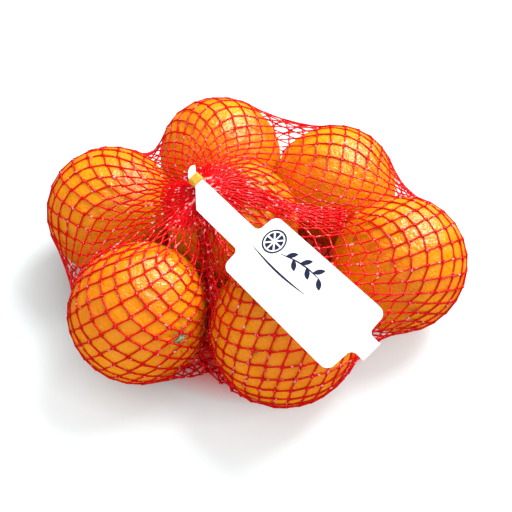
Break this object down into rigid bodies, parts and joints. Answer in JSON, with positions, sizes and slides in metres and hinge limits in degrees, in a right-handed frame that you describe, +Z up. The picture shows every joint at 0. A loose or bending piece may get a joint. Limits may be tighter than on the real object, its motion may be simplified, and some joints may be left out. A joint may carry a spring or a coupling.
{
  "type": "net of oranges",
  "caption": "Red knitted net filled with whole oranges, lying flat, its neck gathered by a small metal clip that also holds a white card label.",
  "frame": {"origin": "on the floor, under the centre of the pack's bounding box", "axes": "+Z up, +X to the right and +Y to the back of the lying bag, whose label points to the front right"},
  "size_m": [0.2405, 0.2361, 0.0937],
  "materials": {
    "net": "red knitted plastic thread over orange peel",
    "card": "plain white card",
    "metal": "satin"
  },
  "bodies": {
    "root": {"filled_net": "net", "label": "card", "clip": "metal"}
  },
  "joints": []
}
